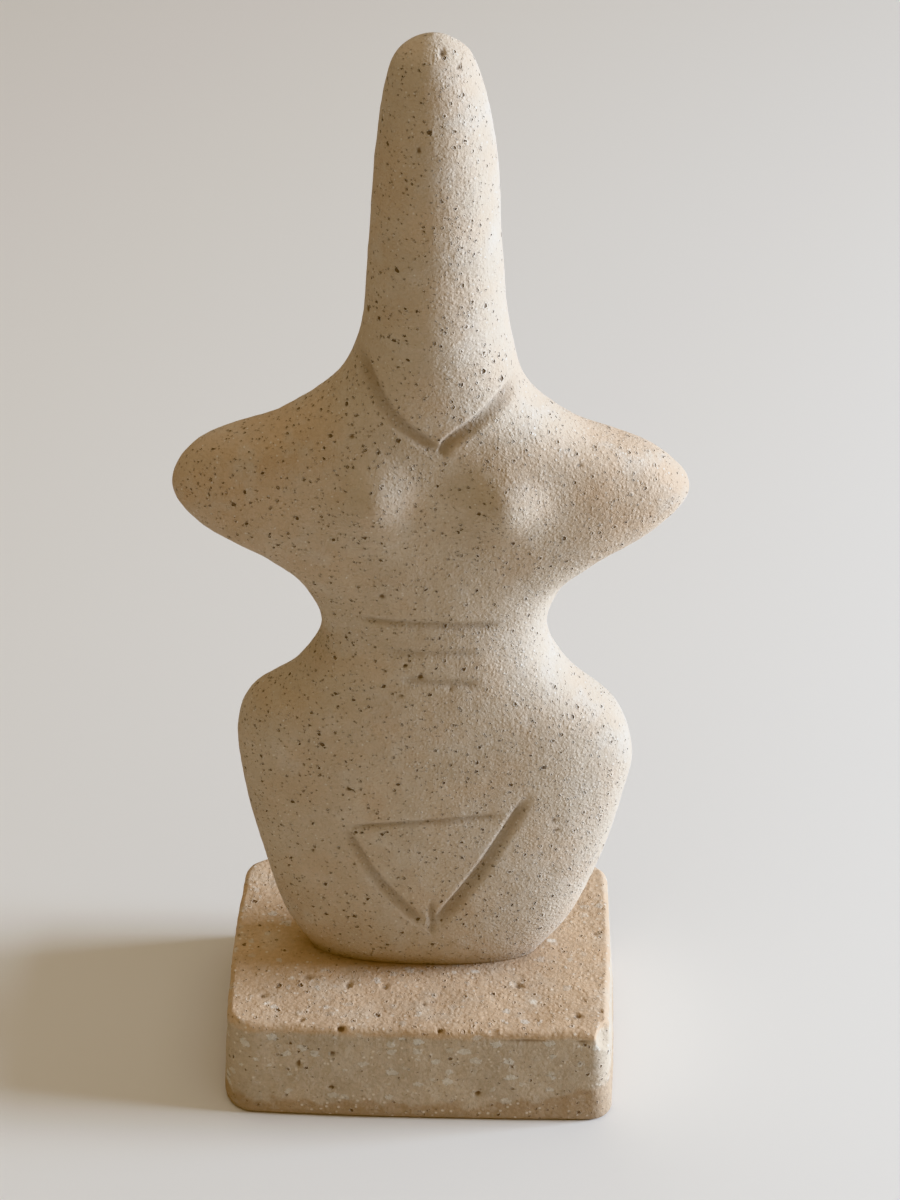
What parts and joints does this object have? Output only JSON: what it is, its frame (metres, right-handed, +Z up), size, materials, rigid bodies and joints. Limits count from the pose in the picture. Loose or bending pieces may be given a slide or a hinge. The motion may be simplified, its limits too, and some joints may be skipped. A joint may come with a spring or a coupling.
{
  "type": "cycladic figurine",
  "caption": "Small violin-shaped female idol in porous limestone, with a peg neck, arm stubs and incised lines, standing on a slab plinth.",
  "frame": {"origin": "centre of the plinth's underside", "axes": "+Z up; the figure faces -Y; +X is to the right of someone who faces the figure"},
  "size_m": [0.069, 0.0417, 0.1604],
  "materials": {
    "figure_stone": "matt porous limestone, cream, sanded smooth, with open pores",
    "plinth_stone": "matt shelly limestone, warm buff, with pale shell fragments and a browner foot"
  },
  "bodies": {
    "root": {"figure": "figure_stone", "plinth": "plinth_stone"}
  },
  "joints": []
}
